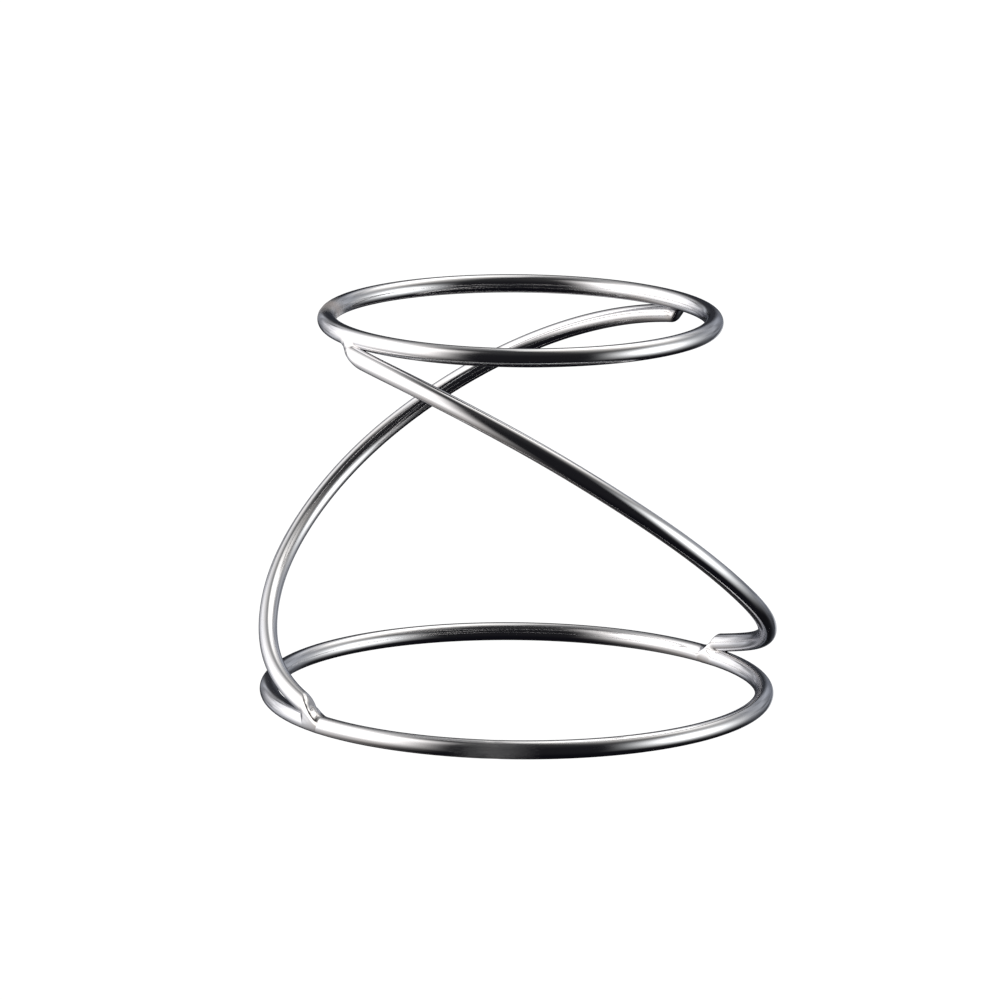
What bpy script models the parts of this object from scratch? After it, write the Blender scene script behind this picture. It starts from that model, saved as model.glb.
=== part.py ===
"""Welded wire ring stand: a small top ring and a larger base ring, joined by two swept legs.

Run with: blender --background --python part.py
Units are metres, +Z is up, and the origin is at the centre of the base, on the ground.
"""

import math

import bmesh
import bpy
import numpy as np
from mathutils import Matrix, Vector

# Driving dimensions
WIRE_RADIUS = 0.0025
STAND_HEIGHT = 0.106
BASE_RADIUS = 0.0665
TOP_RADIUS = 0.0515

# A leg's centre line winds half way round the stand. Its distance from the stand's axis and
# its height above the ground are given at even steps of azimuth, from the top ring down.
LEG_START = math.radians(208)
LEG_FINISH = math.radians(400)
LEG_DISTANCES = (0.0532, 0.0550, 0.0594, 0.0654, 0.0704, 0.0702, 0.0674, 0.0666, 0.0670)
LEG_HEIGHTS = (0.1005, 0.0971, 0.0903, 0.0775, 0.0583, 0.0377, 0.0225, 0.0121, 0.0053)

# Each leg: the turn about the stand's axis, and the azimuths on its own line where it is cut
LEGS = {
    "front_leg": {"turn": 0.0, "top": math.radians(216), "base": math.radians(394)},
    "rear_leg": {"turn": math.pi, "top": math.radians(220), "base": math.radians(394)},
}
WELD_NAMES = {
    "front_leg": {"top": "weld_top_front", "base": "weld_base_right"},
    "rear_leg": {"top": "weld_top_rear", "base": "weld_base_left"},
}

# Weld bead: half its length along the ring, half its width, half its height, and where its
# middle lies, past the end of the leg and away from the ring's centre line
WELD_HALF_SIZES = (0.0042, 0.0019, 0.0020)
WELD_REACH = 0.0028
WELD_LIFT = 0.0031

GAP = 0.0003
LEG_POINTS = 49
LEG_BEVEL = 4
RING_STEPS = 72
RING_SIDES = 14
LEG_SIDES = 4 + 2 * LEG_BEVEL
WELD_SEGMENTS = 24
WELD_RINGS = 14
WELD_TOLERANCE = 0.00001
CREASE_ANGLE = math.radians(40)

BASE_CENTRE_Z = WIRE_RADIUS
TOP_CENTRE_Z = STAND_HEIGHT - WIRE_RADIUS
RINGS = {"top": (TOP_RADIUS, TOP_CENTRE_Z), "base": (BASE_RADIUS, BASE_CENTRE_Z)}


def clear_scene():
    for item in list(bpy.data.objects):
        bpy.data.objects.remove(item)


def new_collection(name):
    collection = bpy.data.collections.new(name)
    bpy.context.scene.collection.children.link(collection)
    return collection


def move_to(item, collection):
    for holder in list(item.users_collection):
        holder.objects.unlink(item)
    collection.objects.link(item)


def metal(name, colour, roughness):
    material = bpy.data.materials.new(name)
    material.use_nodes = True
    shader = material.node_tree.nodes["Principled BSDF"]
    shader.inputs["Base Color"].default_value = (*colour, 1.0)
    shader.inputs["Metallic"].default_value = 1.0
    shader.inputs["Roughness"].default_value = roughness
    return material


def smooth(mesh):
    mesh.shade_smooth()
    mesh.set_sharp_from_angle(angle=CREASE_ANGLE)


def across_flats(radius, sides):
    """Corner radius of a many-sided wire whose flat sides lie at the given radius."""
    return radius / math.cos(math.pi / sides)


def make_ring(name, radius, height, thickness, collection):
    """A ring with a flat side at its very top and bottom: RING_SIDES is 4k + 2."""
    bpy.ops.mesh.primitive_torus_add(
        major_segments=RING_STEPS,
        minor_segments=RING_SIDES,
        major_radius=radius,
        minor_radius=across_flats(thickness, RING_SIDES),
        location=(0, 0, height),
    )
    ring = bpy.context.object
    ring.name = name
    smooth(ring.data)
    move_to(ring, collection)
    return ring


def spline_bends(values):
    """Second differences of the natural cubic spline through evenly spaced values."""
    count = len(values)
    system = np.eye(count)
    target = np.zeros(count)
    for i in range(1, count - 1):
        system[i, i - 1 : i + 2] = (1, 4, 1)
        target[i] = 6 * (values[i - 1] - 2 * values[i] + values[i + 1])
    return np.linalg.solve(system, target)


def spline_value(values, bends, place):
    """The spline's value at a place counted in steps from the first value."""
    i = min(max(int(place), 0), len(values) - 2)
    f = place - i
    straight = (1 - f) * values[i] + f * values[i + 1]
    return straight - f * (1 - f) * ((2 - f) * bends[i] + (1 + f) * bends[i + 1]) / 6


DISTANCE_BENDS = spline_bends(LEG_DISTANCES)
HEIGHT_BENDS = spline_bends(LEG_HEIGHTS)


def leg_point(azimuth, turn):
    """A point of a leg's centre line."""
    place = (azimuth - LEG_START) / (LEG_FINISH - LEG_START) * (len(LEG_HEIGHTS) - 1)
    distance = spline_value(LEG_DISTANCES, DISTANCE_BENDS, place)
    height = spline_value(LEG_HEIGHTS, HEIGHT_BENDS, place)
    angle = azimuth + turn
    return Vector((distance * math.cos(angle), distance * math.sin(angle), height))


def ring_point(end, angle):
    """A point of the centre line of the ring at that end of the legs."""
    radius, height = RINGS[end]
    return Vector((radius * math.cos(angle), radius * math.sin(angle), height))


def stretch_ends(points, length):
    """Carries a line of points on past both of its ends."""
    first = points[0] + (points[0] - points[1]).normalized() * length
    last = points[-1] + (points[-1] - points[-2]).normalized() * length
    return [first, *points, last]


def make_wire(name, points, radius, collection):
    """A round wire along the points, as a closed mesh."""
    curve = bpy.data.curves.new(name, "CURVE")
    curve.dimensions = "3D"
    curve.bevel_depth = across_flats(radius, LEG_SIDES)
    curve.bevel_resolution = LEG_BEVEL
    curve.use_fill_caps = True
    spline = curve.splines.new("POLY")
    spline.points.add(len(points) - 1)
    for target, point in zip(spline.points, points):
        target.co = (*point, 1.0)
    guide = bpy.data.objects.new(name + "_line", curve)
    collection.objects.link(guide)
    bpy.context.view_layer.update()

    evaluated = guide.evaluated_get(bpy.context.evaluated_depsgraph_get())
    mesh = bpy.data.meshes.new_from_object(evaluated)
    mesh.name = name
    wire = bpy.data.objects.new(name, mesh)
    wire.matrix_world = guide.matrix_world
    bpy.data.objects.remove(guide)
    collection.objects.link(wire)

    shape = bmesh.new()
    shape.from_mesh(mesh)
    bmesh.ops.remove_doubles(shape, verts=shape.verts, dist=WELD_TOLERANCE)
    bmesh.ops.recalc_face_normals(shape, faces=shape.faces)
    shape.to_mesh(mesh)
    shape.free()
    smooth(mesh)
    return wire


def leg_line(leg):
    azimuths = np.linspace(leg["top"], leg["base"], LEG_POINTS)
    return [leg_point(azimuth, leg["turn"]) for azimuth in azimuths]


def cut_away(item, cutter):
    """Cuts one piece back from another with a Boolean."""
    modifier = item.modifiers.new("clear_of_" + cutter.name, "BOOLEAN")
    modifier.operation = "DIFFERENCE"
    modifier.solver = "EXACT"
    modifier.object = cutter


def as_cutter(item):
    item.hide_render = True
    item.display_type = "WIRE"
    return item


def make_weld(name, leg, end, collection):
    """An egg-shaped bead that runs from the end of a leg down on to its ring."""
    way = -1 if end == "top" else 1
    radius = RINGS[end][0]
    angle = leg[end] + leg["turn"] + way * WELD_REACH / radius
    along = Vector((-math.sin(angle), math.cos(angle), 0))
    seat = ring_point(end, angle)
    away = leg_point(leg[end], leg["turn"]) - ring_point(end, leg[end] + leg["turn"])
    away -= along * away.dot(along)
    away.normalize()
    across = along.cross(away)

    bpy.ops.mesh.primitive_uv_sphere_add(segments=WELD_SEGMENTS, ring_count=WELD_RINGS, radius=1.0)
    bead = bpy.context.object
    bead.name = name
    axes = Matrix((along, across, away)).transposed()
    sizes = Matrix.Diagonal(WELD_HALF_SIZES)
    bead.data.transform((axes @ sizes).to_4x4())
    bead.location = seat + away * WELD_LIFT
    smooth(bead.data)
    move_to(bead, collection)
    return bead


def build():
    clear_scene()
    stand = new_collection("wire_ring_stand")
    cutters = new_collection("cutters")
    polished = metal("polished_wire", (0.72, 0.71, 0.70), 0.12)
    welded = metal("weld_metal", (0.62, 0.60, 0.59), 0.25)

    ring_cutters = {}
    for end, (radius, height) in RINGS.items():
        ring = make_ring(end + "_ring", radius, height, WIRE_RADIUS, stand)
        ring.data.materials.append(polished)
        cutter = make_ring(end + "_ring_space", radius, height, WIRE_RADIUS + GAP, cutters)
        ring_cutters[end] = as_cutter(cutter)

    for leg_name, leg in LEGS.items():
        line = leg_line(leg)
        wire = make_wire(leg_name, line, WIRE_RADIUS, stand)
        wire.data.materials.append(polished)
        longer = stretch_ends(line, GAP)
        leg_cutter = as_cutter(make_wire(leg_name + "_space", longer, WIRE_RADIUS + GAP, cutters))
        for end, weld_name in WELD_NAMES[leg_name].items():
            cut_away(wire, ring_cutters[end])
            bead = make_weld(weld_name, leg, end, stand)
            bead.data.materials.append(welded)
            cut_away(bead, ring_cutters[end])
            cut_away(bead, leg_cutter)


build()
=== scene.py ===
"""Looks of the welded wire ring stand: bright polished wire, fused welds and a white studio.

Everything is in metres, +Z up, with the origin under the middle of the base ring. The camera
looks along +Y, so -Y is the front of the stand and +X is its right.
"""

import math

import bmesh
import bpy
import numpy as np
from mathutils import Matrix, Vector


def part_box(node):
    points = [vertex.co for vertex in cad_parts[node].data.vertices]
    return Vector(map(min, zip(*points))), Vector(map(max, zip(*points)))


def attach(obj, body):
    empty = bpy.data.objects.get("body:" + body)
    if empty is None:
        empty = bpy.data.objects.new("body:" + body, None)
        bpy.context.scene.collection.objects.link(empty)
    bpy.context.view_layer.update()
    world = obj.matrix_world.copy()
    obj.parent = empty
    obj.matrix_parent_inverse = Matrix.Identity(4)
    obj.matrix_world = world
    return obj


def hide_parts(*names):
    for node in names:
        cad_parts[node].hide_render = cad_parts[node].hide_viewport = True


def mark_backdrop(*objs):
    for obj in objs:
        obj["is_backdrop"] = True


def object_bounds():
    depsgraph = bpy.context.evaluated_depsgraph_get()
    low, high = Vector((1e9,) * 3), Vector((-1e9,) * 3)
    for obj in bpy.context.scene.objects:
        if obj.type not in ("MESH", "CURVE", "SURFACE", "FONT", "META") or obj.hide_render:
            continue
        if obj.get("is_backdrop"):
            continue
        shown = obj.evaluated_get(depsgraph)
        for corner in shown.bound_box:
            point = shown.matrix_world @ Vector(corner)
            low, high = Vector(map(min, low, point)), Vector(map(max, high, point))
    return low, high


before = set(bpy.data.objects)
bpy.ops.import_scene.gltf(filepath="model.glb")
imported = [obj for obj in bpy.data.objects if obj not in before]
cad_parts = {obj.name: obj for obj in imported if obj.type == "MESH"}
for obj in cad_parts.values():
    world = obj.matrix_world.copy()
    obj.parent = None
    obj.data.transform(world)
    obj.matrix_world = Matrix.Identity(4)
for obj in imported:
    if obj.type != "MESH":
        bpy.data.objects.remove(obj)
CAD_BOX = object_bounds()

MM = 0.001

# The stand, read from the frame. A ring's flat sides lie at the wire's radius, and its 14
# corners stand a little further out.
RING_SIDES = 14
WIRE_RADIUS = (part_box("base_ring")[1].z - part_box("base_ring")[0].z) / 2
RINGS = {}
for end in ("top", "base"):
    low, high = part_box(end + "_ring")
    RINGS[end] = (high.x - WIRE_RADIUS / math.cos(math.pi / RING_SIDES), (low.z + high.z) / 2)

# A leg's centre line, the same route as in the CAD: distance from the stand's axis and height
# at even steps of azimuth, from the top ring down. The values are the rounded result of a
# least-squares fit to the photo's outline.
LEG_START = math.radians(208)
LEG_FINISH = math.radians(400)
LEG_DISTANCES = (0.0532, 0.0550, 0.0594, 0.0654, 0.0704, 0.0702, 0.0674, 0.0666, 0.0670)
LEG_HEIGHTS = (0.1005, 0.0971, 0.0903, 0.0775, 0.0583, 0.0377, 0.0225, 0.0121, 0.0053)
LEGS = {
    "front_leg": {"turn": 0.0, "top": math.radians(216), "base": math.radians(394)},
    "rear_leg": {"turn": math.pi, "top": math.radians(220), "base": math.radians(394)},
}
# Where the two ends of each ring's wire meet, as an azimuth, and how much the heat shows there
RING_JOINTS = {"top": math.radians(173), "base": math.radians(265)}
RING_STAINS = {"top": 0.9, "base": 0.15}
# Each weld: its leg, the end of that leg, how steeply the melted end falls to the ring and how
# far it is turned inward, how far past the cut the slope starts, how round its upper edge is,
# and how far its foot spreads
WELDS = {
    "weld_top_front": ("front_leg", "top", math.radians(36), 0.0, 0.0014, 0.0040, 0.0020),
    "weld_top_rear": ("rear_leg", "top", math.radians(45), 0.0, 0.0006, 0.0012, 0.0016),
    "weld_base_right": ("front_leg", "base", math.radians(50), math.radians(20), 0.0004, 0.0008, 0.0036),
    "weld_base_left": ("rear_leg", "base", math.radians(44), math.radians(42), 0.0002, 0.0012, 0.0030),
}

# Fineness of the wires
RING_STEPS = 720
LEG_STEPS = 420
WIRE_SIDES = 64
MERGE_DISTANCE = 0.001 * MM
JOINT_WAIST = 0.035 * MM
JOINT_LENGTH = 1.6 * MM
JOINT_TINT_LENGTH = 13.0 * MM

# Welds: the grid that each one is worked out on, and how it settles on to its true surface
WELD_CELL = 0.17 * MM
WELD_HALF_SPAN = 8.6 * MM
WELD_FORWARD = 1.2 * MM
WELD_NEAR = 3 * WIRE_RADIUS
FAR_OUTSIDE = 1.0
FILLED = 0.01 * MM
FILLING_PASSES = 8
SURFACE_PASSES = 3
LEAST_SLOPE = 0.5
SLOPE_STEP = 0.02 * MM

# How far back the leg is looked at, and in how many pieces its line is taken
WELD_BACK = math.radians(11)
CUT_LINE_POINTS = 18
FULL_LINE_POINTS = 26

# Where the weld's own skin ends, how far it stands proud, and how fast it then dives
WELD_LAP = 0.6 * MM
WELD_PROUD = 0.02 * MM
WELD_DIVE = 0.30 / MM
WELD_BEHIND = 1.6 * MM
WELD_FRONT = 7.2 * MM
MELTED_REACH = 8 * MM

# Width of the fillet at distances past the cut. The last width is the foot of the weld.
FILLET_MARKS = (-6.0 * MM, -3.0 * MM, -0.5 * MM, 2.5 * MM)
FILLET_WIDTHS = (0.02 * MM, 0.04 * MM, 0.20 * MM)

# Unevenness of the melted metal: its height, how it fades in past the cut and fades out away
# from the leg, and three waves, each with its direction, length and phase
WELD_RIPPLE = 0.05 * MM
RIPPLE_FADE = 1.0 * MM
RIPPLE_EDGE = 1.2
WELD_RIPPLES = (
    ((1.0, 0.4, 0.2), 2.9 * MM, 0.3),
    ((-0.3, 1.0, 0.5), 2.3 * MM, 1.9),
    ((0.2, -0.5, 1.0), 1.9 * MM, 4.0),
)

# Camera, from the same fit to the photo's outline
CAMERA_DISTANCE = 2.0436
CAMERA_ELEVATION = math.radians(13.851)
CAMERA_PITCH = math.radians(12.431)
CAMERA_TURN = math.radians(0.143)
CAMERA_ROLL = math.radians(0.5725)
CAMERA_LENS = 273.7


# ---------------------------------------------------------------- shapes


def spline_bends(values):
    """Second differences of the natural cubic spline through evenly spaced values."""
    count = len(values)
    system = np.eye(count)
    target = np.zeros(count)
    for i in range(1, count - 1):
        system[i, i - 1 : i + 2] = (1, 4, 1)
        target[i] = 6 * (values[i - 1] - 2 * values[i] + values[i + 1])
    return np.linalg.solve(system, target)


def spline_values(values, places):
    """The spline's values at places counted in steps from the first value."""
    values = np.array(values)
    bends = spline_bends(values)
    i = np.clip(np.floor(places).astype(int), 0, len(values) - 2)
    f = places - i
    straight = (1 - f) * values[i] + f * values[i + 1]
    return straight - f * (1 - f) * ((2 - f) * bends[i] + (1 + f) * bends[i + 1]) / 6


def leg_line(azimuths, turn):
    """Points of a leg's centre line."""
    places = (azimuths - LEG_START) / (LEG_FINISH - LEG_START) * (len(LEG_HEIGHTS) - 1)
    distances = spline_values(LEG_DISTANCES, places)
    heights = spline_values(LEG_HEIGHTS, places)
    angles = azimuths + turn
    return np.stack([distances * np.cos(angles), distances * np.sin(angles), heights], -1)


def unit(vectors):
    return vectors / np.linalg.norm(vectors, axis=-1, keepdims=True)


def radial(points):
    """Level directions that point away from the stand's axis."""
    return unit(points * np.array([1.0, 1.0, 0.0]))


def make_mesh(name, points, faces, material, uvs=None):
    mesh = bpy.data.meshes.new(name)
    mesh.from_pydata([tuple(p) for p in points], [], faces)
    if uvs is not None:
        layer = mesh.uv_layers.new(name="wire")
        layer.data.foreach_set("uv", np.asarray(uvs, dtype=np.float32).ravel())
    mesh.materials.append(material)
    mesh.shade_smooth()
    mesh.validate()
    item = bpy.data.objects.new(name, mesh)
    bpy.context.scene.collection.objects.link(item)
    return item


def wire_faces(rows, sides, closed):
    """Quads between the rows of a swept wire."""
    faces = []
    for i in range(rows if closed else rows - 1):
        a = i * sides
        b = ((i + 1) % rows) * sides
        for j in range(sides):
            k = (j + 1) % sides
            faces.append((a + j, a + k, b + k, b + j))
    return faces


def wire_uvs(along, sides, closed, length):
    """A UV for each corner of wire_faces: distance along the wire and round it, in metres."""
    rows = len(along)
    count = rows if closed else rows - 1
    after = np.append(along[1:], length)[:count] if closed else along[1:]
    before = along[:count]
    step = 2 * math.pi * WIRE_RADIUS / sides
    round_a = np.arange(sides) * step
    round_b = round_a + step
    uvs = np.zeros((count, sides, 4, 2))
    uvs[:, :, 0, 0] = uvs[:, :, 1, 0] = before[:, None]
    uvs[:, :, 2, 0] = uvs[:, :, 3, 0] = after[:, None]
    uvs[:, :, 0, 1] = uvs[:, :, 3, 1] = round_a
    uvs[:, :, 1, 1] = uvs[:, :, 2, 1] = round_b
    return uvs.reshape(-1, 2)


def ring_joint(distance):
    """How far the wire is waisted where its two ends meet and the seam was ground flush."""
    return JOINT_WAIST * np.exp(-((distance / JOINT_LENGTH) ** 2))


def make_ring(name, radius, height, joint, material):
    """A closed ring of round wire, slightly waisted at its joint."""
    azimuths = np.linspace(0, 2 * math.pi, RING_STEPS, endpoint=False)
    angles = np.linspace(0, 2 * math.pi, WIRE_SIDES, endpoint=False)
    out = np.stack([np.cos(azimuths), np.sin(azimuths), np.zeros_like(azimuths)], -1)
    up = np.array([0.0, 0.0, 1.0])
    spokes = np.cos(angles)[None, :, None] * out[:, None, :] + np.sin(angles)[None, :, None] * up
    centres = out * radius + up * height
    from_joint = (azimuths - joint + math.pi) % (2 * math.pi) - math.pi
    thickness = WIRE_RADIUS - ring_joint(from_joint * radius)
    points = centres[:, None, :] + spokes * thickness[:, None, None]
    faces = wire_faces(RING_STEPS, WIRE_SIDES, closed=True)
    faces = [tuple(reversed(face)) for face in faces]
    length = 2 * math.pi * radius
    uvs = wire_uvs(azimuths * radius, WIRE_SIDES, True, length)
    uvs = uvs.reshape(-1, 4, 2)[:, ::-1].reshape(-1, 2)
    return make_mesh(name, points.reshape(-1, 3), faces, material, uvs)


def make_leg(name, leg, ends, material):
    """A round wire along a leg's line, with flat ends that have melted away inside the welds."""
    azimuths = np.linspace(leg["top"], leg["base"], LEG_STEPS)
    line = leg_line(azimuths, leg["turn"])
    tangents = unit(np.gradient(line, axis=0))
    out = radial(line)
    out = unit(out - (out * tangents).sum(-1, keepdims=True) * tangents)
    side = np.cross(tangents, out)
    steps = np.linalg.norm(np.diff(line, axis=0), axis=1)
    along = np.concatenate([[0], np.cumsum(steps)])

    angles = np.linspace(0, 2 * math.pi, WIRE_SIDES, endpoint=False)
    spokes = np.cos(angles)[None, :, None] * out[:, None, :]
    spokes = spokes + np.sin(angles)[None, :, None] * side[:, None, :]
    points = (line[:, None, :] + spokes * WIRE_RADIUS).reshape(-1, 3)
    points = np.concatenate([points, line[:1], line[-1:]])
    faces = wire_faces(LEG_STEPS, WIRE_SIDES, closed=False)
    first_middle, last_middle = len(points) - 2, len(points) - 1
    last_row = (LEG_STEPS - 1) * WIRE_SIDES
    for j in range(WIRE_SIDES):
        k = (j + 1) % WIRE_SIDES
        faces.append((first_middle, k, j))
        faces.append((last_middle, last_row + j, last_row + k))
    uvs = wire_uvs(along, WIRE_SIDES, False, 0.0)
    caps = np.zeros((2 * 3 * WIRE_SIDES, 2))
    wire = make_mesh(name, points, faces, material, np.concatenate([uvs, caps]))
    for field in ends:
        melt_corner(wire.data, field)
    return wire


def melt_corner(mesh, field):
    """Cuts off the corner of a leg's end that has melted away, inside the weld."""
    shape = bmesh.new()
    shape.from_mesh(mesh)
    tip = Vector(field.tip)
    near = {vert for vert in shape.verts if (vert.co - tip).length < MELTED_REACH}
    edges = [edge for edge in shape.edges if near.issuperset(edge.verts)]
    faces = [face for face in shape.faces if near.issuperset(face.verts)]
    cut = bmesh.ops.bisect_plane(
        shape,
        geom=[*near, *edges, *faces],
        dist=MERGE_DISTANCE,
        plane_co=Vector(field.rim) - Vector(field.slope) * (field.rounding + WELD_LAP / 4),
        plane_no=Vector(field.slope),
        clear_outer=True,
    )
    rim = [part for part in cut["geom_cut"] if isinstance(part, bmesh.types.BMEdge)]
    if rim:
        bmesh.ops.holes_fill(shape, edges=rim, sides=0)
        bmesh.ops.recalc_face_normals(shape, faces=shape.faces)
    shape.to_mesh(mesh)
    shape.free()
    mesh.shade_smooth()


# ---------------------------------------------------------------- welds


def smooth_min(a, b, width):
    """The smaller of two distances, rounded where they are within the width of each other."""
    h = np.maximum(width - np.abs(a - b), 0) / width
    return np.minimum(a, b) - h * h * width / 4


def ring_distance(points, end):
    """Signed distance to the skin of the ring at that end of the legs."""
    radius, height = RINGS[end]
    flat = np.hypot(points[..., 0], points[..., 1]) - radius
    return np.hypot(flat, points[..., 2] - height) - WIRE_RADIUS


class WeldField:
    """Signed distances round one weld.

    The end of the leg is melted down on to its ring: past the cut the wire runs on under a
    slope that falls from the rim farthest from the ring, and its foot spreads into the ring.
    """

    def __init__(self, leg, end, slope, turn, start, rounding, foot):
        self.end = end
        self.rounding = rounding
        self.foot = foot
        way = -1 if end == "top" else 1
        tip = leg[end]
        back = tip - way * WELD_BACK
        furthest = LEG_START if end == "top" else LEG_FINISH
        self.full_line = leg_line(np.linspace(back, furthest, FULL_LINE_POINTS), leg["turn"])
        cut_line = leg_line(np.linspace(back, tip, CUT_LINE_POINTS), leg["turn"])
        self.tip = cut_line[-1]
        self.ahead = unit(cut_line[-1] - cut_line[-2])
        radius, height = RINGS[end]
        seat = radial(self.tip) * radius + np.array([0, 0, height])
        away = self.tip - seat
        self.away = unit(away - (away @ self.ahead) * self.ahead)
        self.rim = self.tip + self.away * WIRE_RADIUS + self.ahead * start
        inward = -radial(self.tip)
        inward = unit(inward - (inward @ self.ahead) * self.ahead)
        facing = math.cos(turn) * self.ahead + math.sin(turn) * inward
        self.slope = unit(math.sin(slope) * facing + math.cos(slope) * self.away)
        self.middle = (self.tip + seat) / 2 + self.ahead * WELD_FORWARD

    def progress(self, points):
        """Distance past the cut end of the leg."""
        return (points - self.tip) @ self.ahead

    def tube(self, points, line):
        """Signed distance to the skin of a round wire along the line."""
        nearest = np.full(points.shape[:-1], np.inf)
        for a, b in zip(line[:-1], line[1:]):
            ab = b - a
            t = np.clip(((points - a) @ ab) / (ab @ ab), 0, 1)
            gap = points - a - t[..., None] * ab
            nearest = np.minimum(nearest, (gap * gap).sum(-1))
        return np.sqrt(nearest) - WIRE_RADIUS

    def past_slope(self, points):
        """Distance above the slope that the melted end falls in."""
        return (points - self.rim) @ self.slope

    def wire(self, points):
        """The wire carried on past the cut, under the slope."""
        tube = self.tube(points, self.full_line)
        return -smooth_min(-tube, -self.past_slope(points), self.rounding)

    def spread(self, points):
        """Width of the fillet: narrow beside the leg, and wide at the foot of the slope."""
        return np.interp(self.progress(points), FILLET_MARKS, (*FILLET_WIDTHS, self.foot))

    def ripple(self, points, wire):
        """The slight unevenness of metal that has flowed."""
        waves = 0
        for axis, length, phase in WELD_RIPPLES:
            waves = waves + np.sin(points @ unit(np.array(axis)) * (2 * math.pi / length) + phase)
        fresh = np.clip(self.progress(points) / RIPPLE_FADE, 0, 1)
        close = np.clip(RIPPLE_EDGE - wire / RIPPLE_FADE, 0, 1)
        return WELD_RIPPLE * waves / len(WELD_RIPPLES) * fresh * close

    def parts(self, points):
        """Distances to the ring, to the wire and to both fused, and the fillet's width."""
        ring = ring_distance(points, self.end)
        wire = self.wire(points)
        width = self.spread(points)
        fused = smooth_min(ring, wire, width) + self.ripple(points, wire)
        return ring, wire, width, fused

    def fused(self, points):
        """Distance to the whole skin of ring, weld and leg."""
        return self.parts(points)[3]

    def before_slope(self, points):
        """Distance short of where the slope starts to bend the leg's skin."""
        return -WELD_LAP - self.rounding - self.past_slope(points)

    def outside(self, points, ring, wire, width):
        """Distance beyond the edge of the weld's own part of the skin."""
        beside = np.abs(ring - wire) - width
        before_end = -WELD_LAP - self.progress(points)
        on_leg = np.maximum(np.minimum(before_end, self.before_slope(points)), wire - ring)
        return np.maximum(np.minimum(beside, on_leg), self.progress(points) - WELD_FRONT)

    def weld(self, points):
        """The weld's own piece. Past its edge it dives under the skin of the wires."""
        value = np.full(points.shape[:-1], FAR_OUTSIDE)
        close = ring_distance(points, self.end) < WELD_NEAR
        near = points[close]
        ring, wire, width, fused = self.parts(near)
        beyond = np.maximum(self.outside(near, ring, wire, width), 0)
        behind = np.minimum(-self.progress(near) - WELD_BEHIND, self.before_slope(near))
        behind = np.maximum(behind, 0)
        skin = fused - WELD_PROUD + WELD_DIVE * (beyond * beyond + behind * behind)
        reach = np.linalg.norm(near - self.middle, axis=-1) - (WELD_HALF_SPAN - 2 * WELD_CELL)
        value[close] = np.maximum(np.maximum(skin, reach), -near[..., 2])
        return value


def settle(values):
    """Fills the squares of a grid whose corners are inside and outside in turn.

    Such a square would leave an edge with four faces in surface_nets.
    """
    for _ in range(FILLING_PASSES):
        changed = 0
        for u, v in ((0, 1), (0, 2), (1, 2)):
            corners = []
            for du, dv in ((0, 0), (0, 1), (1, 0), (1, 1)):
                cut = [slice(None)] * 3
                cut[u] = slice(du, values.shape[u] - 1 + du)
                cut[v] = slice(dv, values.shape[v] - 1 + dv)
                corners.append(values[tuple(cut)])
            a, b, c, d = corners
            first = (a < 0) & (d < 0) & (b >= 0) & (c >= 0)
            second = (b < 0) & (c < 0) & (a >= 0) & (d >= 0)
            b[first] = -FILLED
            a[second] = -FILLED
            changed += first.sum() + second.sum()
        if not changed:
            break
    return values


def surface_nets(values, origin, cell):
    """A closed quad mesh of the zero surface of a grid of signed distances."""
    inside = values < 0
    shape = values.shape
    corner_steps = [(i, j, k) for i in (0, 1) for j in (0, 1) for k in (0, 1)]
    cells = tuple(n - 1 for n in shape)

    def corner(grid, step):
        return grid[tuple(slice(s, s + n) for s, n in zip(step, cells))]

    count = sum(corner(inside, s).astype(int) for s in corner_steps)
    mixed = (count > 0) & (count < 8)
    total = np.zeros(cells + (3,))
    crossings = np.zeros(cells)
    for axis in range(3):
        for s in corner_steps:
            if s[axis]:
                continue
            e = list(s)
            e[axis] = 1
            a, b = corner(values, s), corner(values, tuple(e))
            crossed = (a < 0) != (b < 0)
            t = np.where(crossed, a / np.where(crossed, a - b, 1), 0)
            for k in range(3):
                total[..., k] += np.where(crossed, s[k] + (t if k == axis else 0), 0)
            crossings += crossed
    index = -np.ones(cells, int)
    index[mixed] = np.arange(mixed.sum())
    base = np.argwhere(mixed)
    points = origin + (base + total[mixed] / crossings[mixed][:, None]) * cell
    faces = []
    for axis in range(3):
        u, v = (axis + 1) % 3, (axis + 2) % 3
        ahead = [slice(None)] * 3
        ahead[axis] = slice(1, None)
        behind = [slice(None)] * 3
        behind[axis] = slice(None, -1)
        crossed = inside[tuple(behind)] != inside[tuple(ahead)]
        for at in np.argwhere(crossed):
            if at[u] == 0 or at[v] == 0 or at[u] >= cells[u] or at[v] >= cells[v]:
                continue
            quad = []
            for du, dv in ((-1, -1), (0, -1), (0, 0), (-1, 0)):
                c = at.copy()
                c[u] += du
                c[v] += dv
                quad.append(int(index[tuple(c)]))
            if not inside[tuple(at)]:
                quad.reverse()
            faces.append(tuple(quad))
    return points, faces


def gradient(field, points):
    """The direction and rate at which the field rises at each point."""
    out = np.zeros_like(points)
    for k in range(3):
        shift = np.zeros(3)
        shift[k] = SLOPE_STEP
        out[:, k] = (field(points + shift) - field(points - shift)) / (2 * SLOPE_STEP)
    return out


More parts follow.
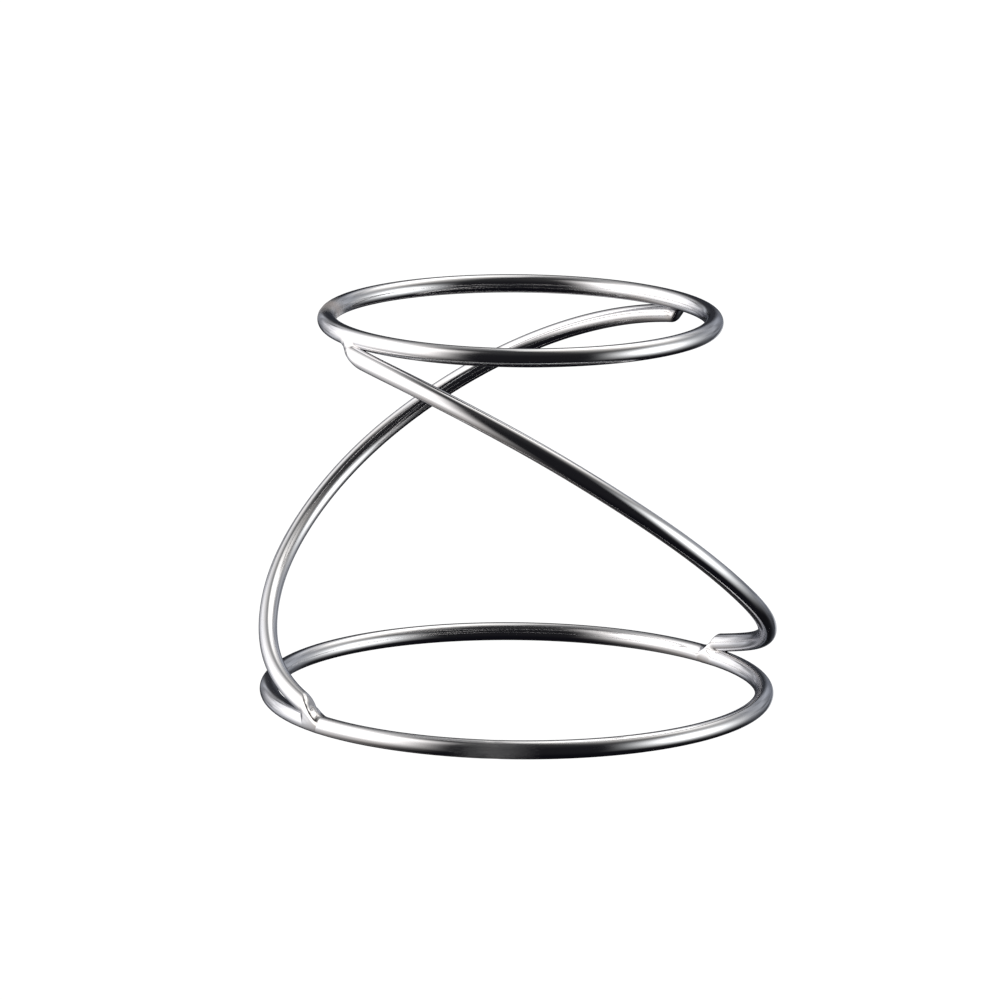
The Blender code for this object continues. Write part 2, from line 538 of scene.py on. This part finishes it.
def make_weld(name, field, material):
    """The skin of one weld, as a closed mesh shaded with the slopes of the fused metal."""
    low = field.middle - WELD_HALF_SPAN
    steps = np.arange(int(2 * WELD_HALF_SPAN / WELD_CELL)) * WELD_CELL
    axes = [low[k] + steps for k in range(3)]
    grid = np.stack(np.meshgrid(*axes, indexing="ij"), -1)
    points, faces = surface_nets(settle(field.weld(grid)), low, WELD_CELL)
    for _ in range(SURFACE_PASSES):
        slopes = gradient(field.weld, points)
        size = np.maximum((slopes * slopes).sum(-1, keepdims=True), LEAST_SLOPE)
        step = np.clip(field.weld(points)[:, None], -WELD_CELL / 2, WELD_CELL / 2)
        points = points - slopes * step / size
    weld = make_mesh(name, points, faces, material)
    normals = unit(gradient(field.fused, points))
    weld.data.normals_split_custom_set_from_vertices([tuple(n) for n in normals])
    return weld


# ---------------------------------------------------------------- materials


# Polished wire: repeats per metre along the wire and round it, and the height of each
ROLLING_WAVES = (60, 130)
ROLLING_HEIGHT = 0.016 * MM
DRAWN_LINES = (60, 7000)
DRAWN_HEIGHT = 0.00012 * MM
HAIRLINES = (500, 5000)
HAIRLINE_HEIGHT = 0.0003 * MM
HAIRLINE_RANGE = (0.68, 0.74)
CLOUDS = 110.0
CLOUD_ROUGHNESS = (0.10, 0.14)
DRAWN_ROUGHNESS = 0.015
HAIRLINE_ROUGHNESS = 0.05
COOL_TONE = (0.79, 0.79, 0.795)
WARM_TONE = (0.825, 0.81, 0.80)

# Where a ring's ends were joined: the stain's colour, how rough it is, how much of it is dull
# oxide rather than mirror, and the fine seam in its middle
STAIN_TONE = (0.30, 0.25, 0.23)
STAIN_ROUGHNESS = 0.32
OXIDE_SHARE = 0.75
SEAM_WIDTH = 0.12 * MM
SEAM_DEPTH = 0.006 * MM

# Weld metal: repeats per metre of its flow lines, grain and heat colour
FLOW = 420.0
FLOW_ROUGHNESS = (0.05, 0.12)
FLOW_HEIGHT = 0.03 * MM
GRAIN = 3500.0
GRAIN_HEIGHT = 0.0007 * MM
HEAT = 260.0
HEAT_RANGE = (0.42, 0.72)
CLEAN_TONE = (0.80, 0.79, 0.785)
HEATED_TONE = (0.755, 0.725, 0.695)

# How much the metal still mirrors at a glancing angle, which keeps the wire's edges dark
EDGE_TINT = (0.36, 0.37, 0.40)


class Nodes:
    """A short way to write a material's node tree."""

    def __init__(self, material):
        self.tree = material.node_tree

    def add(self, kind, **inputs):
        node = self.tree.nodes.new(kind)
        for key, value in inputs.items():
            if key in node.bl_rna.properties:
                setattr(node, key, value)
            else:
                self.put(node.inputs[key.replace("_", " ")], value)
        return node

    def math(self, operation, first, second=None):
        node = self.tree.nodes.new("ShaderNodeMath")
        node.operation = operation
        self.put(node.inputs[0], first)
        if second is not None:
            self.put(node.inputs[1], second)
        return node.outputs[0]

    def put(self, socket, value):
        if isinstance(value, bpy.types.NodeSocket):
            self.tree.links.new(value, socket)
        else:
            socket.default_value = value


def new_material(name):
    material = bpy.data.materials.new(name)
    material.use_nodes = True
    material.node_tree.nodes.clear()
    return material


def mapped(n, value, low, high, start=0.3, finish=0.7):
    """A texture's value carried from its own range to another one."""
    node = n.add("ShaderNodeMapRange", Value=value)
    node.inputs["From Min"].default_value = start
    node.inputs["From Max"].default_value = finish
    node.inputs["To Min"].default_value = low
    node.inputs["To Max"].default_value = high
    return node.outputs["Result"]


def noise(n, place, scale, detail, **more):
    """A noise texture's value."""
    inputs = dict(Vector=place, Scale=scale, Detail=detail, **more)
    return n.add("ShaderNodeTexNoise", **inputs).outputs["Fac"]


def fade_in(n, value, start, finish):
    """0 below the start, 1 above the finish, and smooth between them."""
    ramp = n.add("ShaderNodeMapRange", interpolation_type="SMOOTHSTEP", Value=value)
    ramp.inputs["From Min"].default_value = start
    ramp.inputs["From Max"].default_value = finish
    return ramp.outputs["Result"]


def stretched(n, place, along, across):
    """A texture place in repeats per metre: along the wire, and round it."""
    node = n.add("ShaderNodeMapping", Vector=place)
    node.inputs["Scale"].default_value = (along, across, 1.0)
    return node.outputs["Vector"]


def bumped(n, normal, height, distance):
    """A normal tilted by a texture whose full range is the given height."""
    node = n.add("ShaderNodeBump", Strength=1.0, Distance=distance, Height=height)
    if normal is not None:
        n.put(node.inputs["Normal"], normal)
    return node.outputs["Normal"]


def mixed(n, share, first, second):
    """A colour between two others, by the share of the second."""
    node = n.add("ShaderNodeMix", data_type="RGBA")
    sockets = {socket.identifier: socket for socket in node.inputs}
    n.put(sockets["Factor_Float"], share)
    for key, colour in (("A_Color", first), ("B_Color", second)):
        n.put(sockets[key], (*colour, 1.0) if isinstance(colour, tuple) else colour)
    return [socket for socket in node.outputs if socket.identifier == "Result_Color"][0]


def finish_metal(n, colour, roughness, normal, metallic=1.0):
    """The metal's shader and the material's output."""
    shader = n.add("ShaderNodeBsdfPrincipled")
    n.put(shader.inputs["Metallic"], metallic)
    n.put(shader.inputs["Base Color"], colour)
    n.put(shader.inputs["Roughness"], roughness)
    n.put(shader.inputs["Normal"], normal)
    shader.inputs["Specular Tint"].default_value = (*EDGE_TINT, 1.0)
    out = n.add("ShaderNodeOutputMaterial")
    n.put(out.inputs["Surface"], shader.outputs["BSDF"])


def polished_wire(name, joint=None, stain=0.0):
    """Bright polished wire: slow waves from rolling, fine drawing lines and hairline scratches.

    Where a ring's ends were joined, the joint's distance along the wire is given, and the heat
    has left a trace of colour there.
    """
    material = new_material(name)
    n = Nodes(material)
    place = n.add("ShaderNodeUVMap", uv_map="wire").outputs["UV"]
    solid = n.add("ShaderNodeTexCoord").outputs["Object"]
    waves = noise(n, stretched(n, place, *ROLLING_WAVES), 1.0, 1.0)
    lines = noise(n, stretched(n, place, *DRAWN_LINES), 1.0, 3.0)
    hairs = noise(n, stretched(n, place, *HAIRLINES), 1.0, 3.0)
    cloud = noise(n, solid, CLOUDS, 4.0)

    scratch = mapped(n, hairs, 0.0, 1.0, *HAIRLINE_RANGE)
    roughness = mapped(n, cloud, *CLOUD_ROUGHNESS)
    roughness = n.math("ADD", roughness, mapped(n, lines, 0.0, DRAWN_ROUGHNESS))
    roughness = n.math("ADD", roughness, n.math("MULTIPLY", scratch, HAIRLINE_ROUGHNESS))
    tone = mixed(n, mapped(n, cloud, 0.0, 1.0), COOL_TONE, WARM_TONE)
    normal = bumped(n, None, waves, ROLLING_HEIGHT)
    normal = bumped(n, normal, lines, DRAWN_HEIGHT)
    normal = bumped(n, normal, scratch, HAIRLINE_HEIGHT)
    metallic = 1.0
    if joint is not None:
        along = n.add("ShaderNodeSeparateXYZ", Vector=place).outputs["X"]
        away = n.math("ABSOLUTE", n.math("SUBTRACT", along, joint))
        heated = fade_in(n, n.math("MULTIPLY", away, -1.0), -JOINT_TINT_LENGTH, 0.0)
        heated = n.math("MULTIPLY", heated, mapped(n, cloud, stain / 2, stain))
        tone = mixed(n, heated, tone, STAIN_TONE)
        roughness = n.math("ADD", roughness, n.math("MULTIPLY", heated, STAIN_ROUGHNESS))
        metallic = n.math("SUBTRACT", 1.0, n.math("MULTIPLY", heated, OXIDE_SHARE))
        seam = fade_in(n, away, 0.0, SEAM_WIDTH)
        normal = bumped(n, normal, seam, SEAM_DEPTH)
    finish_metal(n, tone, roughness, normal, metallic)
    return material


def weld_metal():
    """Fused metal, polished over: less even than the wire, with a trace of heat colour."""
    material = new_material("weld_metal")
    n = Nodes(material)
    place = n.add("ShaderNodeTexCoord").outputs["Object"]
    flow = noise(n, place, FLOW, 2.0, Distortion=0.4)
    grain = noise(n, place, GRAIN, 3.0)
    heat = noise(n, place, HEAT, 3.0)
    roughness = mapped(n, flow, *FLOW_ROUGHNESS)
    tone = mixed(n, mapped(n, heat, 0.0, 1.0, *HEAT_RANGE), CLEAN_TONE, HEATED_TONE)
    normal = bumped(n, None, flow, FLOW_HEIGHT)
    normal = bumped(n, normal, grain, GRAIN_HEIGHT)
    finish_metal(n, tone, roughness, normal)
    return material


# ---------------------------------------------------------------- studio

MIDDLE = Vector((0, 0, (CAD_BOX[0].z + CAD_BOX[1].z) / 2))
ROOM_RADIUS = 4.0
FLOOR_SIZE = 40.0
ROOM_LIGHT = 1.25
# The floor and the sky are just past white, so that the backdrop has no grain
BACKDROP_LIGHT = 1.06

# The lights that the wire mirrors, as soft patches on a round room, in degrees. Azimuth 0 is
# from the stand to the camera and 90 to the right. Fades are the widths of the soft left,
# right, lower and upper edges. The softboxes, both ceilings and the table bounce follow
# least-squares fits to the photo's highlights, and the others were set one by one.
LIGHTS = {
    "left_softbox": dict(
        middle=(-91, 18), half=(43, 40), fades=(86, 42, 60, 32), light=1.5, tint=(1.0, 0.98, 0.98)
    ),
    "right_softbox": dict(
        middle=(84, 2), half=(18, 15), fades=(56, 76, 76, 60), light=3.6, tint=(0.98, 1.0, 1.02)
    ),
    "high_softbox": dict(
        middle=(146, 52), half=(28, 16), fades=(80, 44, 28, 34), light=1.25, tint=(1.0, 0.99, 0.98)
    ),
    "ceiling": dict(
        middle=(128, 68), half=(58, 22), fades=(80, 16, 30, 50), light=0.42, tint=(1.02, 1.0, 0.98)
    ),
    "rear_ceiling": dict(
        middle=(-160, 56), half=(52, 20), fades=(16, 90, 30, 60), light=0.19, tint=(0.98, 1.0, 1.02)
    ),
    "left_wall": dict(
        middle=(-130, 2), half=(23, 34), fades=(28, 50, 30, 26), light=0.36, tint=(0.96, 0.99, 1.07)
    ),
    "right_wall": dict(
        middle=(148, 8), half=(23, 26), fades=(46, 14, 34, 30), light=0.36, tint=(0.95, 0.99, 1.08)
    ),
    "rear_wall": dict(
        middle=(180, -2), half=(24, 26), fades=(20, 20, 24, 24), light=0.042, tint=(0.90, 0.97, 1.14)
    ),
    "left_doorway": dict(
        middle=(-162, 4), half=(3, 12), fades=(6, 6, 14, 14), light=0.55, tint=(0.97, 1.0, 1.04)
    ),
    "right_doorway": dict(
        middle=(166, -15), half=(6, 4), fades=(16, 8, 10, 10), light=0.8, tint=(1.0, 1.0, 1.0)
    ),
    "table_bounce": dict(
        middle=(-112, -42), half=(48, 8), fades=(70, 44, 40, 15), light=0.29, tint=(1.06, 1.0, 0.98)
    ),
}
ROOM_DARK = (0.0098, 0.0097, 0.0118)
ROOM_BELOW = -0.006
ROOM_ABOVE = 0.022
# Elevations between which the room's floor and ceiling part from its walls, in degrees
ROOM_TURN = (20, 80)
# How much the things behind the stand vary in brightness, their size, the least share of the
# light that they leave, and how far towards the back of the room they start
ROOM_CLUTTER = 1.5
ROOM_CLUTTER_SCALE = 4.5
ROOM_CLUTTER_LEAST = 0.1
ROOM_CLUTTER_START = (0.45, 0.8)


def soft_edge(n, value, place, width):
    """0 on the low side of a place and 1 on the high side, across a soft edge."""
    return fade_in(n, value, place - width / 2, place + width / 2)


def light_patch(n, way, elevation, middle, half, fades, light, tint):
    """The light of one soft patch of the room, as a colour."""
    turned = n.add("ShaderNodeVectorRotate", rotation_type="Z_AXIS", Vector=way)
    turned.inputs["Angle"].default_value = -math.radians(middle[0])
    parts = n.add("ShaderNodeSeparateXYZ", Vector=turned.outputs["Vector"])
    forward = n.math("MULTIPLY", parts.outputs["Y"], -1.0)
    azimuth = n.math("DEGREES", n.math("ARCTAN2", parts.outputs["X"], forward))
    left, right, lower, upper = fades
    masks = (
        soft_edge(n, azimuth, -half[0], left),
        soft_edge(n, n.math("MULTIPLY", azimuth, -1.0), -half[0], right),
        soft_edge(n, elevation, middle[1] - half[1], lower),
        soft_edge(n, n.math("MULTIPLY", elevation, -1.0), -middle[1] - half[1], upper),
    )
    share = masks[0]
    for mask in masks[1:]:
        share = n.math("MULTIPLY", share, mask)
    colour = n.add("ShaderNodeVectorMath", operation="SCALE")
    colour.inputs["Vector"].default_value = [light * c for c in tint]
    n.put(colour.inputs["Scale"], share)
    return colour.outputs["Vector"]


def room_clutter(n, way):
    """Overall brightness: even in front, and broken up by dim shapes behind the stand."""
    back = n.add("ShaderNodeSeparateXYZ", Vector=way).outputs["Y"]
    rear = fade_in(n, back, *ROOM_CLUTTER_START)
    shapes = noise(n, way, ROOM_CLUTTER_SCALE, 3.0, Distortion=0.6)
    swing = n.math("MULTIPLY", n.math("SUBTRACT", shapes, 0.5), 2 * ROOM_CLUTTER)
    share = n.math("ADD", n.math("MULTIPLY", swing, rear), 1.0)
    share = n.math("MAXIMUM", share, ROOM_CLUTTER_LEAST)
    return n.math("MULTIPLY", share, ROOM_LIGHT)


def make_room():
    """The studio round the stand. It shows only in the polished wire, never to the camera."""
    material = new_material("studio_room")
    n = Nodes(material)
    place = n.add("ShaderNodeTexCoord").outputs["Object"]
    way = n.add("ShaderNodeVectorMath", operation="NORMALIZE")
    n.put(way.inputs[0], place)
    way = way.outputs["Vector"]
    height = n.add("ShaderNodeSeparateXYZ", Vector=way).outputs["Z"]
    elevation = n.math("DEGREES", n.math("ARCSINE", height))

    depth = n.math("MULTIPLY", elevation, -1.0)
    below = n.math("MULTIPLY", fade_in(n, depth, *ROOM_TURN), ROOM_BELOW)
    above = n.math("MULTIPLY", fade_in(n, elevation, *ROOM_TURN), ROOM_ABOVE)
    dim = n.add("ShaderNodeVectorMath", operation="ADD")
    dim.inputs[0].default_value = ROOM_DARK
    n.put(dim.inputs[1], n.math("ADD", below, above))
    total = dim.outputs["Vector"]
    for patch in LIGHTS.values():
        more = n.add("ShaderNodeVectorMath", operation="ADD")
        n.put(more.inputs[0], total)
        n.put(more.inputs[1], light_patch(n, way, elevation, **patch))
        total = more.outputs["Vector"]
    light = n.add("ShaderNodeEmission", Color=total, Strength=room_clutter(n, way))
    out = n.add("ShaderNodeOutputMaterial")
    n.put(out.inputs["Surface"], light.outputs[0])

    bpy.ops.mesh.primitive_uv_sphere_add(segments=96, ring_count=48, radius=ROOM_RADIUS)
    room = bpy.context.object
    room.name = "studio_room"
    room.location = MIDDLE
    room.data.shade_smooth()
    room.data.materials.append(material)
    room.visible_camera = False
    room.visible_diffuse = False
    room.visible_shadow = False
    room.visible_transmission = False
    room.visible_volume_scatter = False
    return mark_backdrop(room)


def make_floor():
    """A plain white floor, which the metal doesn't mirror."""
    material = new_material("studio_floor")
    n = Nodes(material)
    shader = n.add("ShaderNodeEmission", Color=(1, 1, 1, 1), Strength=BACKDROP_LIGHT)
    out = n.add("ShaderNodeOutputMaterial")
    n.put(out.inputs["Surface"], shader.outputs[0])
    bpy.ops.mesh.primitive_plane_add(size=FLOOR_SIZE)
    floor = bpy.context.object
    floor.name = "floor"
    floor.data.materials.append(material)
    floor.visible_glossy = False
    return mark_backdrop(floor)


def make_world():
    world = bpy.data.worlds.new("studio")
    bpy.context.scene.world = world
    world.use_nodes = True
    sky = world.node_tree.nodes["Background"]
    sky.inputs["Color"].default_value = (1, 1, 1, 1)
    sky.inputs["Strength"].default_value = BACKDROP_LIGHT


def make_camera():
    data = bpy.data.cameras.new("camera")
    data.sensor_width = 36
    data.lens = CAMERA_LENS
    data.clip_start = 0.01
    data.clip_end = 60
    camera = bpy.data.objects.new("camera", data)
    bpy.context.scene.collection.objects.link(camera)
    level = -CAMERA_DISTANCE * math.cos(CAMERA_ELEVATION)
    rise = CAMERA_DISTANCE * math.sin(CAMERA_ELEVATION)
    camera.location = (0, level, WIRE_RADIUS + rise)
    turn = Matrix.Rotation(CAMERA_TURN, 3, "Z")
    tilt = Matrix.Rotation(math.pi / 2 - CAMERA_PITCH, 3, "X")
    roll = Matrix.Rotation(CAMERA_ROLL, 3, "Z")
    camera.rotation_euler = (turn @ tilt @ roll).to_euler()
    bpy.context.scene.camera = camera


def make_studio():
    make_floor()
    make_room()
    make_world()
    bpy.context.scene.view_settings.view_transform = "Standard"


# ---------------------------------------------------------------- the stand


def finish_piece(piece, node):
    """Puts a piece in place of its CAD node, on the one body."""
    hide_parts(node)
    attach(piece, "root")


def make_stand():
    wire = polished_wire("polished_wire")
    weld = weld_metal()
    for end, (radius, height) in RINGS.items():
        name = end + "_ring"
        joint = RING_JOINTS[end]
        joined = polished_wire("polished_wire_" + end, joint * radius, RING_STAINS[end])
        ring = make_ring(name + "_wire", radius, height, joint, joined)
        finish_piece(ring, name)
    fields = {}
    for name, (leg_name, end, *shape) in WELDS.items():
        fields[leg_name, end] = WeldField(LEGS[leg_name], end, *shape)
        bead = make_weld(name + "_bead", fields[leg_name, end], weld)
        finish_piece(bead, name)
    for name, leg in LEGS.items():
        ends = (fields[name, "top"], fields[name, "base"])
        finish_piece(make_leg(name + "_wire", leg, ends, wire), name)


make_camera()
make_stand()
make_studio()
